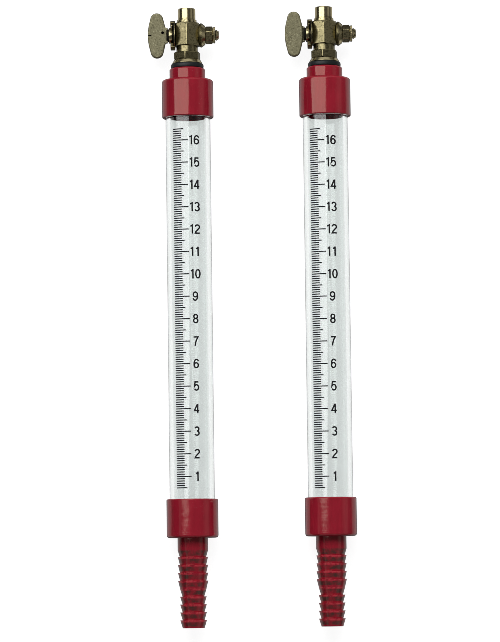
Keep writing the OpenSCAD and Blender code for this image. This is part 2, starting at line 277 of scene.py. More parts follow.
def blend_colours(mask, first, second):
    """The first colour where the mask is 0 and the second where it is 1."""
    return mask.add("ShaderNodeMix", {"data_type": "RGBA"}, {0: mask, 6: first, 7: second}, output=2)


def crevices(where, reach):
    """An occlusion mask for painted shade: 1 deep in corners of the piece and 0 in the open, seen over a reach in
    metres.
    """
    settings = {"samples": 8, "only_local": True}
    return 1 - where.add("ShaderNodeAmbientOcclusion", settings, {"Distance": reach}, output=1)


def bump(height, depth):
    """A normal for a height between 0 and 1 that stands for a depth in metres."""
    return height.add("ShaderNodeBump", {}, {"Height": height, "Distance": depth, "Strength": 1.0})


# %% [markdown]
# Room
#
# Beyond the lamps the polished pieces reflect the room around them. A picture of a studio could be
# wrapped around the scene, but a few greys painted by direction are enough: pale walls, a paler wall
# beyond the cocks, a darker ceiling and ground, and a pale band low down at both sides in place of the
# table's shine. A narrow pixel filter keeps the thin scale lines crisp.

# %% Grey room with paler walls
CEILING = 0.12
WALLS = 0.4
GROUND = 0.12
WALL_FOOT = 0.12
WALL_FULL = 0.26
WALL_TOP = 0.5
CEILING_FROM = 0.7
PIXEL_FILTER = 0.7

scene = bpy.context.scene
scene.view_settings.view_transform = "Standard"
scene.cycles.filter_width = PIXEL_FILTER
scene.world = bpy.data.worlds.new("grey_room")
scene.world.use_nodes = True
room_tree = scene.world.node_tree
direction = Socket(room_tree, room_tree.nodes.new("ShaderNodeTexCoord").outputs["Generated"])
upwards = axis_part(direction, "Z")
away = axis_part(direction, "Y")
aside = axis_part(direction, "X")
wall_stops = [(WALL_FOOT, GROUND), (WALL_FULL, WALLS), (WALL_TOP, WALLS), (CEILING_FROM, CEILING)]
room = upwards.add("ShaderNodeValToRGB", {"stops": wall_stops}, {"Fac": upwards})
print("walls", WALLS, "ceiling", CEILING)

# %% Far wall and table shine
FAR_WALL = 0.7
FAR_WALL_FADE = (0.5, 0.8)
TABLE_SHINE = 0.6
SHINE_DOWN = (-0.2, -0.4)
SHINE_ASIDE = (0.09, 0.25)
far_wall = sharpen(away, *FAR_WALL_FADE) * sharpen(upwards, WALL_FOOT, WALL_FULL)
room = blend_colours(far_wall, room, grey(FAR_WALL))
table_beside = sharpen(upwards, *SHINE_DOWN) * sharpen(aside * aside, *SHINE_ASIDE)
room = blend_colours(table_beside, room, grey(TABLE_SHINE))
fill_sockets(room_tree.nodes["Background"], {"Color": room})
print("far wall", FAR_WALL, "table shine", TABLE_SHINE)


# %% [markdown]
# Red plastic
#
# Caps, bush and tail are turned from crimson rod and polished. One flat colour would look drawn, because
# up close the gloss is uneven: broad shallow waves, faint turning rings around the gauge and a little
# dust. The colour is deep, with cloudy places and faint streaks along the gauge. All of that comes from
# noise at different sizes and stretches. A piece can add grime with painted shade and painted highlights,
# each given as a function that makes a mask.


# %% Red plastic
DEEP_CRIMSON = (0.165, 0.005, 0.013, 1)
LIGHT_CRIMSON = (0.345, 0.014, 0.031, 1)
RED_DUST = (0.42, 0.20, 0.20, 1)
DARK_GRIME_AND_SHADE = (0.045, 0.024, 0.020, 1)
RIDGE_HIGHLIGHT = (0.46, 0.035, 0.052, 1)
WARM_GLOSS = (1.0, 0.82, 0.68, 1)
WAVE_DEPTH = 0.09 * MM


def red_plastic(name, grime_and_shade_mask=None, painted_highlights=None):
    material, shader, where = new_finish(name)
    clouds = noise(where, 140)
    streaks = noise(stretch(where, (700, 60, 700)), 1, 4)
    specks = sharpen(noise(where, 2600, 2), 0.66, 0.74)
    colour = blend_colours(0.5 * clouds + 0.5 * streaks, DEEP_CRIMSON, LIGHT_CRIMSON)
    colour = blend_colours(specks * 0.2, colour, RED_DUST)
    # Grime with painted shade, where the piece gives its mask.
    if grime_and_shade_mask:
        colour = blend_colours(grime_and_shade_mask(where), colour, DARK_GRIME_AND_SHADE)
    # Painted highlights: paler crimson on the edges, where the piece gives their mask.
    if painted_highlights:
        colour = blend_colours(painted_highlights(where), colour, RIDGE_HIGHLIGHT)
    rings = noise(stretch(where, (60, 4200, 60)), 1, 2)
    waves = noise(stretch(where, (1, 0.45, 1)), 300, 1)
    fill_sockets(shader, {
        "Base Color": colour,
        "Roughness": 0.06 + 0.05 * noise(where, 420) + 0.04 * rings,
        "Normal": bump(waves * 0.92 + rings * 0.08, WAVE_DEPTH),
        "IOR": 1.5,
        "Specular Tint": WARM_GLOSS,
    })
    return material


crimson = red_plastic("polished_crimson_plastic")
print("finish", crimson.name)

# %% [markdown]
# Brass
#
# The cock is turned from bar and left bare, so it has gone from bright yellow to a spotted darker olive,
# with painted shade in its corners. The tool leaves fine rings around the turning axis, which differs
# between the body and the nuts, so the axis is an argument, and so is the height below which the brass is
# a darker olive. This shade could be painted by hand, but an Ambient Occlusion node finds the corners by
# itself. The vent port and the flange are rubbed bright. The key is a casting and keeps the grainy skin
# that the moulding sand left.


# %% Turned brass
BRIGHT_FROM = key_y + 7.2 * MM
FLANGE_TOP = key_y - 11.2 * MM
FADE = 0.8 * MM
RINGS_ACROSS = 70
RINGS_ALONG = 5200
CORNER_REACH = 0.8 * MM
RING_DEPTH = 0.01 * MM
BRIGHT_BRASS = (0.50, 0.43, 0.245, 1)
OLIVE_BRASS = (0.235, 0.205, 0.11, 1)
BRASS_SPOT = (0.10, 0.09, 0.047, 1)
BRASS_CORNER_SHADE = (0.03, 0.027, 0.016, 1)


def turned_brass(name, axis, darker_below):
    material, shader, where = new_finish(name)
    factors = [RINGS_ACROSS, RINGS_ACROSS, RINGS_ACROSS]
    factors["XYZ".index(axis)] = RINGS_ALONG
    rings = noise(stretch(where, factors), 1, 2)
    up_gauge = axis_part(where, "Y")
    on_port = sharpen(up_gauge, BRIGHT_FROM, BRIGHT_FROM + FADE)
    on_flange = sharpen(up_gauge, FLANGE_TOP, FLANGE_TOP - FADE / 2)
    dull = 1 - (on_port + on_flange) * 0.8
    # Below a given height the brass turns a darker olive.
    below = sharpen(up_gauge, darker_below, darker_below - FADE) * dull
    patina = sharpen(noise(where, 330, 5, 0.6) + 0.24 * below, 0.34, 0.68) * dull
    colour = blend_colours(patina, BRIGHT_BRASS, OLIVE_BRASS)
    spots = sharpen(noise(where, 1100, 4, 0.65), 0.49, 0.62) * dull
    colour = blend_colours(spots * 0.8, colour, BRASS_SPOT)
    # Painted shade: an occlusion mask darkens the brass in its corners.
    corners = sharpen(crevices(where, CORNER_REACH), 0.3, 0.7)
    colour = blend_colours(corners, colour, BRASS_CORNER_SHADE)
    fill_sockets(shader, {
        "Base Color": colour,
        "Roughness": 0.13 + 0.12 * patina + 0.07 * rings,
        "Normal": bump(rings * 0.5 + 0.5 * noise(where, 1500) * dull, RING_DEPTH),
        "Metallic": 1.0,
    })
    return material


# %% Brass of the body and of the nuts
BODY_DARKER_BELOW = key_y + 6.0 * MM
NUT_DARKER_BELOW = key_y - 4.8 * MM
body_brass = turned_brass("turned_brass_body", "Y", BODY_DARKER_BELOW)
nut_brass = turned_brass("turned_brass_nuts", "X", NUT_DARKER_BELOW)
print("finishes", body_brass.name, nut_brass.name)

# %% Sand cast brass
CAST_PALE = (0.205, 0.190, 0.112, 1)
CAST_STAIN = (0.150, 0.140, 0.082, 1)
CAST_GRAIN = (0.36, 0.34, 0.22, 1)
CAST_PIT = (0.060, 0.055, 0.030, 1)
GRAIN_DEPTH = 0.08 * MM
cast, shader, where = new_finish("sand_cast_brass")
grain = noise(where, 1500, 4, 0.65)
stains = noise(where, 260, 4)
colour = blend_colours(stains, CAST_PALE, CAST_STAIN)
colour = blend_colours(sharpen(grain, 0.55, 0.68) * 0.8, colour, CAST_GRAIN)
colour = blend_colours(sharpen(grain, 0.46, 0.34) * 0.8, colour, CAST_PIT)
fill_sockets(shader, {
    "Base Color": colour,
    "Roughness": 0.5 + 0.2 * grain,
    "Normal": bump(grain, GRAIN_DEPTH),
    "Metallic": 0.7,
})
print("finish", cast.name)

# %% [markdown]
# Rubber, clear plastic, ink and table
#
# The washer is black rubber with a slight blue bloom, and small holes and grooves get a dull dark finish
# that paints the shade in them. The tube is clear acrylic with a slightly hazy surface. A shader that is
# only see-through would be quicker to render, but light has to bend in the wall for the edges of the tube
# to show. The scale's black ink covers unevenly, and the table and the dark card are plain.

# %% Black rubber
BLOOM_DEPTH = 0.02 * MM
rubber, shader, where = new_finish("black_rubber")
fill_sockets(shader, {
    "Base Color": blend_colours(noise(where, 500, 4), (0.004, 0.005, 0.006, 1), (0.009, 0.013, 0.014, 1)),
    "Roughness": 0.35 + 0.25 * noise(where, 1300),
    "Normal": bump(noise(where, 3000, 3), BLOOM_DEPTH),
    "Specular IOR Level": 0.3,
})
print("finish", rubber.name)


# %% Painted recess shade and dark cloth
def dull_finish(name, scale, dark, light, roughness, gloss):
    """Dull painted shade or cloth that varies between two colours."""
    material, shader, where = new_finish(name)
    colour = blend_colours(noise(where, scale), dark, light)
    fill_sockets(shader, {"Base Color": colour, "Roughness": roughness, "Specular IOR Level": gloss})
    return material


# Painted shade: a dark finish for holes, grooves and hollows, where shade falls.
recess_shade = dull_finish("painted_recess_shade", 2500, (0.004, 0.004, 0.003, 1), (0.012, 0.011, 0.008, 1), 0.9, 0.1)
cloth = dull_finish("dark_cloth", 30, grey(0.004), grey(0.008), 1.0, 0.0)
card.data.materials.append(cloth)
print("finishes", recess_shade.name, cloth.name)

# %% Clear acrylic
acrylic, shader, where = new_finish("clear_acrylic")
streaks = noise(stretch(where, (900, 12, 900)), 1, 3)
fill_sockets(shader, {
    "Base Color": blend_colours(streaks, (0.835, 0.862, 0.853, 1), (0.810, 0.838, 0.829, 1)),
    "Roughness": 0.01 + 0.04 * streaks,
    "Transmission Weight": 1.0,
    "IOR": 1.49,
    "Specular IOR Level": 0.85,
})
print("finish", acrylic.name)

# %% Black ink
ink, shader, where = new_finish("black_print")
cover = noise(where, 1500, 4)
fill_sockets(shader, {
    "Base Color": blend_colours(cover, (0.004, 0.004, 0.005, 1), (0.016, 0.016, 0.018, 1)),
    "Roughness": 0.6 + 0.3 * cover,
    "Specular IOR Level": 0.15,
})
print("finish", ink.name)

# %% Table top
TABLE_GLOW = 0.9
table_top, shader, where = new_finish("pale_table")
patches = noise(where, 6, 2)
fill_sockets(shader, {
    "Base Color": blend_colours(patches, grey(0.22), grey(0.20)),
    "Roughness": 0.7 + 0.1 * patches,
    "Emission Color": blend_colours(patches, grey(1.0), grey(0.98)),
    "Emission Strength": TABLE_GLOW,
})
floor.data.materials.append(table_top)
print("finish", table_top.name)

# %% [markdown]
# Turning on the lathe
#
# Nearly every piece is round. A profile could be drawn as a curve and spun by a modifier. Here a ring is
# drawn instead, then pulled out step by step along the axis and scaled to the next radius, the way a
# turner works along a bar, because a piece is then a plain list of places and radii. A list that ends
# where it began makes a ring with a hole, and any other list gets flat ends. What goes only part of the
# way round is a small rectangle swept by an angle. A shape that is joined or cut away brings its finish.

# %% Settling and closing a mesh
WELD = 0.001 * MM


def set_down(piece, matrix):
    """Moves a piece from its drawing place to the object and keeps that place in its mesh."""
    start_clean(piece)
    piece.matrix_world = matrix
    bpy.ops.object.transform_apply(location=True, rotation=True, scale=True)
    return piece


def settled(name):
    """Names what an operator has just made and keeps its place, turn and size in its mesh."""
    piece = bpy.context.object
    piece.name = name
    bpy.ops.object.transform_apply(location=True, rotation=True, scale=True)
    return piece


def close_mesh(weld=WELD, fill=False):
    """Welds the seams of the piece in edit mode, turns its faces outwards and leaves edit mode."""
    bpy.ops.mesh.select_all(action="SELECT")
    bpy.ops.mesh.remove_doubles(threshold=weld)
    if fill:
        bpy.ops.mesh.fill_holes(sides=0)
    bpy.ops.mesh.normals_make_consistent(inside=False)
    bpy.ops.object.mode_set(mode="OBJECT")


# %% Turned and swept pieces
FACETS = 112


def turned(name, steps, facets=FACETS):
    """A turned piece around Z, from (place, radius) steps in millimetres."""
    start_clean()
    place, radius = steps[0]
    bpy.ops.mesh.primitive_circle_add(vertices=facets, radius=radius * MM, location=(0, 0, place * MM))
    piece = settled(name)
    bpy.ops.object.mode_set(mode="EDIT")
    for next_place, next_radius in steps[1:]:
        shift = (0, 0, (next_place - place) * MM)
        factor = next_radius / radius
        bpy.ops.mesh.extrude_region_move(TRANSFORM_OT_translate={"value": shift})
        bpy.ops.transform.resize(value=(factor, factor, 1), center_override=(0, 0, next_place * MM))
        place, radius = next_place, next_radius
    close_mesh(fill=True)
    return piece


def swept(name, rotation, size, place, steps, angle, weld=WELD):
    """A small rectangle, sized and placed in millimetres and swept round Z by an angle in degrees."""
    start_clean()
    bpy.ops.mesh.primitive_plane_add(size=MM, rotation=rotation)
    piece = settled(name)
    bpy.ops.object.mode_set(mode="EDIT")
    bpy.ops.transform.resize(value=size)
    bpy.ops.transform.translate(value=Vector(place) * MM)
    # Run like this, the spin operator turns clockwise for a positive angle.
    bpy.ops.mesh.spin(steps=steps, angle=-math.radians(angle), center=(0, 0, 0), axis=(0, 0, 1))
    close_mesh(weld)
    return piece


# %% Edges and joins
def apply_modifier(piece, kind, **settings):
    """Adds a modifier with these settings and applies it."""
    bpy.context.view_layer.objects.active = piece
    modifier = piece.modifiers.new(kind.lower(), kind)
    for name, value in settings.items():
        setattr(modifier, name, value)
    bpy.ops.object.modifier_apply(modifier=modifier.name)


def round_edges(piece, width, segments=3, angle=24):
    """Rounds every edge that is sharper than the angle, by a width in millimetres."""
    apply_modifier(piece, "BEVEL", width=width * MM, segments=segments, limit_method="ANGLE",
                   angle_limit=math.radians(angle))


def combine(piece, tool, operation):
    """Joins a second shape to a piece, cuts it away or keeps only what both have."""
    mode = "TRANSFER" if tool.data.materials else "INDEX"
    apply_modifier(piece, "BOOLEAN", object=tool, operation=operation, solver="EXACT", material_mode=mode)
    bpy.data.objects.remove(tool)


def smooth(piece, angle):
    """Smooth shading that keeps real edges, with large faces kept flat beside narrow ones."""
    start_clean(piece)
    bpy.ops.object.shade_smooth_by_angle(angle=math.radians(angle))
    apply_modifier(piece, "WEIGHTED_NORMAL", keep_sharp=True)


# %% [markdown]
# Taking a node's place
#
# A finished piece rides on the body of the CAD node that it stands for and takes that node's place. The
# right gauge has the same pieces. The two could share their meshes, but the place of a piece is kept in
# its mesh, so each piece is copied with a mesh of its own and moved across.

# %% Bodies and slots from the record
record = frame["record"]
BODY_OF = {node: body for body, nodes in record["behaviour"]["bodies"].items() for node in nodes}
SMOOTH_BELOW = 30


def finish_piece(piece, node, material=None):
    """Gives a piece a finish that it hasn't got yet and puts it in a CAD node's place."""
    if material and material.name not in piece.data.materials:
        piece.data.materials.append(material)
    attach(piece, BODY_OF[node])
    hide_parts(node)
    print(piece.name, len(piece.data.polygons), "faces in place of", node)


def copy_right(piece, name, turn=Matrix()):
    """A copy of a piece of the left gauge for the right one, with its own mesh."""
    start_clean(piece)
    bpy.ops.object.duplicate(linked=False)
    twin = bpy.context.object
    twin.name = name
    return set_down(twin, Matrix.Translation((gauge_step, 0, 0)) @ turn)


def fit_pair(piece, place, node, material, angle=SMOOTH_BELOW):
    """Sets a piece down on the left gauge, smooths it and puts it and its copy on the right in place."""
    set_down(piece, place)
    smooth(piece, angle)
    stem = piece.name
    piece.name = "left_" + stem
    twin = copy_right(piece, "right_" + stem)
    finish_piece(piece, "left_" + node, material)
    finish_piece(twin, "right_" + node, material)


# %% [markdown]
# Sight tube
#
# A length of clear acrylic tube with its ends sawn square and eased. A solid rod would be simpler, but
# the look of a clear tube comes from light bending through its wall, so it is a real ring with an inner
# and an outer face.


# %% Sight tube
def span(node):
    """The two ends of a CAD node along the gauge."""
    low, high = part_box(node)
    return low.y, high.y


TUBE_R = 10.0
TUBE_BORE_R = 8.0
TUBE_EDGE = 0.2
TUBE_FACETS = 160
tube_start, tube_end = (y / MM for y in span("left_sight_tube"))
tube = turned("clear_tube", [
    (tube_start, TUBE_BORE_R),
    (tube_start, TUBE_R),
    (tube_end, TUBE_R),
    (tube_end, TUBE_BORE_R),
    (tube_start, TUBE_BORE_R),
], facets=TUBE_FACETS)
round_edges(tube, TUBE_EDGE, 2)
fit_pair(tube, LAID_DOWN, "sight_tube", acrylic)

# %% [markdown]
# Caps
#
# Each cap is a cup with a rounded closed end and a small chamfer around its open rim. The tube stands in
# it, and a hole in the closed end takes the bush or the tail. A Bevel modifier could round the closed
# end, but an arc in the list of steps gives that one corner its own radius.


# %% Cap profile
def bow(x, y, half_w, half_h, start, end, count=16):
    """Points along part of an oval, with angles in degrees from its right side."""
    angles = [math.radians(start + (end - start) * i / count) for i in range(count + 1)]
    return [(x + half_w * math.cos(a), y + half_h * math.sin(a)) for a in angles]


# A hair under the CAD radius, as the CAD mesh has flat facets and its box is that much smaller.
CAP_R = 11.498
CAP_LENGTH = 17.2
CAP_SOCKET_R = 10.05
CAP_SOCKET_DEPTH = 13.5
CAP_CORNER = 1.2
CORNER_STEPS = 8
RIM_CHAMFER = 0.4


def cap_steps(hole_r):
    """A cap with its open rim at 0 and its closed end above."""
    corner_place = (CAP_LENGTH - CAP_CORNER, CAP_R - CAP_CORNER)
    corner = bow(*corner_place, CAP_CORNER, CAP_CORNER, 90, 0, CORNER_STEPS)
    return [
        (0, CAP_SOCKET_R),
        (0, CAP_R - RIM_CHAMFER),
        (RIM_CHAMFER, CAP_R),
        *corner,
        (CAP_LENGTH, hole_r),
        (CAP_SOCKET_DEPTH, hole_r),
        (CAP_SOCKET_DEPTH, CAP_SOCKET_R),
        (0, CAP_SOCKET_R),
    ]


# %% Both caps
UPPER_HOLE_R = 6.53
LOWER_HOLE_R = 5.55
CAP_EDGE_ANGLE = 35
EASED = 0.12
upper_cap_start, upper_cap_end = span("left_upper_cap")
lower_cap_start, lower_cap_end = span("left_lower_cap")


def fit_caps(name, node, hole_r, rim, turn):
    """A cap for each gauge, with its open rim at a place along the gauge."""
    cap = turned(name, cap_steps(hole_r))
    round_edges(cap, EASED, 2, CAP_EDGE_ANGLE)
    place = LAID_DOWN @ Matrix.Translation((0, 0, rim)) @ Matrix.Rotation(turn, 4, "X")
    fit_pair(cap, place, node, crimson)


fit_caps("red_top_cap", "upper_cap", UPPER_HOLE_R, upper_cap_start, 0)
fit_caps("red_bottom_cap", "lower_cap", LOWER_HOLE_R, lower_cap_end, math.pi)

# %% [markdown]
# Neck bush and sealing washer
#
# The bush is a short red collar with a spigot cemented into the cap. Its foot is undercut, so a thin dark
# seam shows where it meets the cap. A dark line in the finish could stand in for the seam, but a real
# groove looks right from any side. The rubber washer above it bulges a little where the cock presses on
# it.

# %% Neck bush
BUSH_R = 8.0
BUSH_SPIGOT_R = 6.48
SCREW_HOLE_R = 4.93
BUSH_TOP_CHAMFER = 0.6
SEAM_WIDTH = 0.4
SEAM_DEPTH = 0.8
SPIGOT_LENGTH = 3.65
bush_foot = upper_cap_end / MM
bush_top = span("left_neck_bush")[1] / MM
bush = turned("red_bush", [
    (bush_foot - SPIGOT_LENGTH, SCREW_HOLE_R),
    (bush_foot - SPIGOT_LENGTH, BUSH_SPIGOT_R),
    (bush_foot, BUSH_SPIGOT_R),
    (bush_foot, BUSH_R - SEAM_DEPTH),
    (bush_foot + SEAM_WIDTH, BUSH_R - SEAM_DEPTH),
    (bush_foot + SEAM_WIDTH, BUSH_R),
    (bush_top - BUSH_TOP_CHAMFER, BUSH_R),
    (bush_top, BUSH_R - BUSH_TOP_CHAMFER),
    (bush_top, SCREW_HOLE_R),
    (bush_foot - SPIGOT_LENGTH, SCREW_HOLE_R),
])
round_edges(bush, EASED, 2)
fit_pair(bush, LAID_DOWN, "neck_bush", crimson)

# %% Sealing washer
WASHER_R = 7.35
WASHER_EDGE = 0.35
WASHER_BULGE = 0.1
WASHER_ROUND = 0.15
WASHER_SMOOTH = 40
washer_foot, washer_top = (y / MM for y in span("left_sealing_washer"))
washer_waist = (washer_foot + washer_top) / 2
washer = turned("rubber_washer", [
    (washer_foot, SCREW_HOLE_R),
    (washer_foot, WASHER_R - WASHER_EDGE),
    (washer_foot + WASHER_EDGE, WASHER_R - WASHER_BULGE),
    (washer_waist, WASHER_R),
    (washer_top - WASHER_EDGE, WASHER_R - WASHER_BULGE),
    (washer_top, WASHER_R - WASHER_EDGE),
    (washer_top, SCREW_HOLE_R),
    (washer_foot, SCREW_HOLE_R),
])
round_edges(washer, WASHER_ROUND, 3)
fit_pair(washer, LAID_DOWN, "sealing_washer", rubber, WASHER_SMOOTH)

# %% [markdown]
# Hose tail
#
# Five small barbs and four large ones lead up to a plain collar. Each barb is a taper that ends in a
# sharp shelf towards the cap, so that a pushed-on hose can't slip back. An Array modifier could repeat
# one barb, but with two sizes a loop over the steps is simpler and leaves no seams. Grime and painted
# shade darken the tapers and the waist, and painted highlights lighten the edges here and there.

# %% Hose tail
BARB_PITCH = 3.5
SMALL_BARBS = [(4.85, 5.90)] * 5
LARGE_BARBS = [(5.85, 6.70)] * 4
COLLAR_R = 6.75
WAIST_LENGTH = 3.0
TAIL_BORE_R = 3.25
TAIL_SPIGOT_R = 5.5
BARB_ROUND = 0.42

tail_end = span("left_hose_tail")[0] / MM
tail_top = lower_cap_start / MM
tail_steps = [(tail_end, TAIL_BORE_R)]
barb_foot = tail_end
for root_r, edge_r in SMALL_BARBS + LARGE_BARBS:
    tail_steps.append((barb_foot, root_r))
    barb_foot += BARB_PITCH
    tail_steps.append((barb_foot, edge_r))
tail_steps += [
    (barb_foot, LARGE_BARBS[0][0]),
    (barb_foot + WAIST_LENGTH, COLLAR_R),
    (tail_top, COLLAR_R),
    (tail_top, TAIL_SPIGOT_R),
    (tail_top + SPIGOT_LENGTH, TAIL_SPIGOT_R),
    (tail_top + SPIGOT_LENGTH, TAIL_BORE_R),
    (tail_end, TAIL_BORE_R),
]
tail = turned("barbed_tail", tail_steps)
round_edges(tail, BARB_ROUND, 3)
print("tail with", len(SMALL_BARBS + LARGE_BARBS), "barbs")


# %% Grime, painted shade and painted highlights on the barbs
BARB_MASK_FADE = 0.4 * MM


def up_barbs(where):
    """The share of its barb that lies below a place, and a mask for the row of barbs."""
    along = axis_part(where, "Y")
    pitches = (along - tail_end * MM) * (1 / (BARB_PITCH * MM))
    up_barb = pitches.math("FRACT", pitches, 0)
    return up_barb, sharpen(along, barb_foot * MM + BARB_MASK_FADE / 2, barb_foot * MM)


def barb_grime(where):
    """A mask of grime and painted shade for the waist and for the tapers of the barbs, between the sharp edge of
    each and its foot.
    """
    along = axis_part(where, "Y")
    up_barb, on_row = up_barbs(where)
    on_taper = sharpen(up_barb, 0.12, 0.34) * sharpen(up_barb, 0.86, 0.70)
    waist_foot = barb_foot * MM + BARB_MASK_FADE
    waist_top = (barb_foot + WAIST_LENGTH) * MM + 1.5 * BARB_MASK_FADE
    above_foot = sharpen(along, waist_foot, waist_foot + BARB_MASK_FADE)
    on_waist = above_foot * sharpen(along, waist_top, waist_top - 3 * BARB_MASK_FADE)
    # Painted shade: the tapers face away from the light and the cap shades the waist, on top of grime.
    return (on_taper * on_row + on_waist) * (0.2 + 0.7 * sharpen(noise(where, 360, 4), 0.34, 0.66))


def barb_scuffs(where):
    """A mask of painted highlights on the edges of the barbs, here and there."""
    up_barb, on_row = up_barbs(where)
    return sharpen(up_barb, 0.66, 0.90) * on_row * sharpen(noise(where, 520, 3), 0.36, 0.60)


grimy_shaded_crimson = red_plastic("grimy_shaded_crimson_plastic", barb_grime, barb_scuffs)
fit_pair(tail, LAID_DOWN, "hose_tail", grimy_shaded_crimson)

# %% [markdown]
# Scale lines
#
# The scale is printed on the tube's front: a line every millimetre from 0.5 to 16.5 centimetres, longer
# every five and longest every ten. It could be part of the tube's finish, but thin lines stay sharper as
# geometry. One line is a sliver of ink, a small rectangle swept around the tube's axis, and Array
# modifiers repeat it, as a printing roller would.

# %% One line of ink
INK_GAP = 0.006
INK_FOOT_R = TUBE_R + INK_GAP
INK_DEPTH = 0.02
LINE_WIDTH = 0.48
LINE_STEPS = 6
LINE_START = -41
SCALE_DROP = 0.15
SCALE_ZERO = lower_cap_end / MM - SCALE_DROP


def about_z(degrees):
    """A turn around Z."""
    return Matrix.Rotation(math.radians(degrees), 4, "Z")


def ink_line(name, place, end_angle):
    """A line around the tube at a place on the scale in millimetres, with angles from the tube's front."""
    size = (1, INK_DEPTH, LINE_WIDTH)
    middle = (0, -INK_FOOT_R - INK_DEPTH / 2, SCALE_ZERO + place)
    line = swept(name, UPRIGHT, size, middle, LINE_STEPS, end_angle - LINE_START, WELD / 10)
    return set_down(line, LAID_DOWN @ about_z(LINE_START))


def repeat(piece, count, step):
    """Copies a piece along the gauge, at steps in millimetres."""
    offset = (0, step * MM, 0)
    apply_modifier(piece, "ARRAY", count=count, use_relative_offset=False, use_constant_offset=True,
                   constant_offset_displace=offset)


# %% All lines
SHORT_END = -17.5
MEDIUM_END = -11
LONG_END = 0
CENTIMETRE = 10
LAST_NUMBER = 16
short_lines = ink_line("short_lines", CENTIMETRE / 2 + 1, SHORT_END)
repeat(short_lines, 4, 1)
repeat(short_lines, 2 * LAST_NUMBER, CENTIMETRE / 2)
medium_lines = ink_line("medium_lines", CENTIMETRE / 2, MEDIUM_END)
repeat(medium_lines, LAST_NUMBER + 1, CENTIMETRE)
long_lines = ink_line("long_lines", CENTIMETRE, LONG_END)
repeat(long_lines, LAST_NUMBER, CENTIMETRE)
line_faces = [len(lines.data.polygons) for lines in (short_lines, medium_lines, long_lines)]
print("scale lines", sum(line_faces), "faces")

# %% [markdown]
# Numbers
#
# The numbers are plain upright figures. A text object would be quicker, but Blender's own font has other
# shapes, so each figure is a few pen strokes: arcs and straight lines that a flat nib follows. The curve
# with the nib as its bevel object becomes a flat mesh, which is cut into narrow strips, dropped onto the
# tube and given the ink's thickness.

# %% Strokes of the figures
HALF_W = 0.86
HALF_H = 1.72
TOP = 2.0


def half_turned(strokes):
    """The same strokes upside down, as a nine is a six on its head."""
    return [[(-x, -y) for x, y in stroke] for stroke in strokes]


SIX_HOOK = (0.12, 0, HALF_W + 0.12, HALF_H)
SIX = [
    bow(0, -0.70, HALF_W, 1.02, 90, 450, 24),
    bow(*SIX_HOOK, 32, 90, 6)[:-1] + bow(*SIX_HOOK, 90, 205, 14),
]
FIGURES = {
    "0": [bow(0, 0, HALF_W, HALF_H, 90, 450, 28)],
    "1": [[(-0.66, 1.12), (0.16, 1.52)], [(0.20, TOP), (0.20, -TOP)]],
    "2": [bow(0, 0.84, HALF_W, 0.88, 172, -28) + [(-0.62, -1.10), (-HALF_W, -HALF_H), (0.98, -HALF_H)]],
    "3": [bow(-0.04, 0.88, 0.80, 0.84, 160, -90), bow(-0.02, -0.83, HALF_W, 0.89, 90, -160)],
    "4": [[(0.30, 1.85), (-0.95, -0.86), (1.08, -0.86)], [(0.42, TOP), (0.42, -TOP)]],
    "5": [[(0.82, HALF_H), (-0.58, HALF_H), (-0.78, -0.05)] + bow(0, -0.58, HALF_W, 1.14, 130, -150)],
    "6": SIX,
    "7": [[(-0.98, HALF_H), (0.86, HALF_H), (0.24, 0.55), (-0.14, -0.70), (-0.30, -TOP)]],
    "8": [bow(0, 0.90, 0.76, 0.82, 90, 450, 24), bow(0, -0.82, HALF_W, 0.90, 90, 450, 24)],
    "9": half_turned(SIX),
}
print(len(FIGURES), "figures")

# %% Pen strokes as curves
FIGURE_SIZE = 1.06


def add_stroke(curve, points, x, y):
    """One pen stroke of a figure whose middle is at x, y in millimetres."""
    stroke = curve.splines.new("POLY")
    stroke.points.add(len(points) - 1)
    for point, (right, up) in zip(stroke.points, points):
        point.co = ((x + right * FIGURE_SIZE) * MM, (y + up * FIGURE_SIZE) * MM, 0, 1)


def flat_curve(name):
    """An empty flat curve in the scene."""
    curve = bpy.data.curves.new(name, "CURVE")
    curve.dimensions = "2D"
    curve.fill_mode = "NONE"
    path = bpy.data.objects.new(name, curve)
    bpy.context.collection.objects.link(path)
    return path


# %% Numbers above the tube
PEN = 0.62
FIGURE_STEP = 2.4
NUMBERS_RIGHT = 2.6
nib = flat_curve("nib")
add_stroke(nib.data, [(-PEN / 2, 0), (PEN / 2, 0)], 0, 0)
numbers = flat_curve("numbers")
numbers.data.bevel_mode = "OBJECT"
numbers.data.bevel_object = nib
for number in range(1, LAST_NUMBER + 1):
    figures = str(number)
    for i, figure in enumerate(figures):
        right = NUMBERS_RIGHT + (i - (len(figures) - 1) / 2) * FIGURE_STEP
        for points in FIGURES[figure]:
            add_stroke(numbers.data, points, right, CENTIMETRE * number)

start_clean(numbers)
bpy.ops.object.convert(target="MESH")
numbers = bpy.context.object
bpy.data.objects.remove(nib)
above_tube = Vector((tube_middle.x, SCALE_ZERO * MM, tube_middle.z + 2 * TUBE_R * MM))
set_down(numbers, Matrix.Translation(above_tube))
print("flat numbers", len(numbers.data.polygons), "faces")

# %% Wrap the numbers onto the tube
STRIP = 0.35
FIRST_STRIP = -3
LAST_STRIP = 14
bpy.ops.object.mode_set(mode="EDIT")
bpy.ops.mesh.select_all(action="SELECT")
bpy.ops.mesh.normals_make_consistent(inside=False)
for i in range(FIRST_STRIP, LAST_STRIP + 1):
    bpy.ops.mesh.select_all(action="SELECT")
    bpy.ops.mesh.bisect(plane_co=(tube_middle.x + i * STRIP * MM, 0, 0), plane_no=(1, 0, 0))
bpy.ops.object.mode_set(mode="OBJECT")
apply_modifier(numbers, "SHRINKWRAP", target=tube, wrap_method="PROJECT", use_project_z=True,
               use_negative_direction=True, use_positive_direction=False, offset=INK_GAP * MM)
apply_modifier(numbers, "SOLIDIFY", thickness=INK_DEPTH * MM, offset=1)
print("numbers", len(numbers.data.polygons), "faces", numbers.dimensions)

# %% One print for each tube
RIGHT_PRINT_TURN = -4
RIGHT_PRINT_DROP = -0.7 * MM

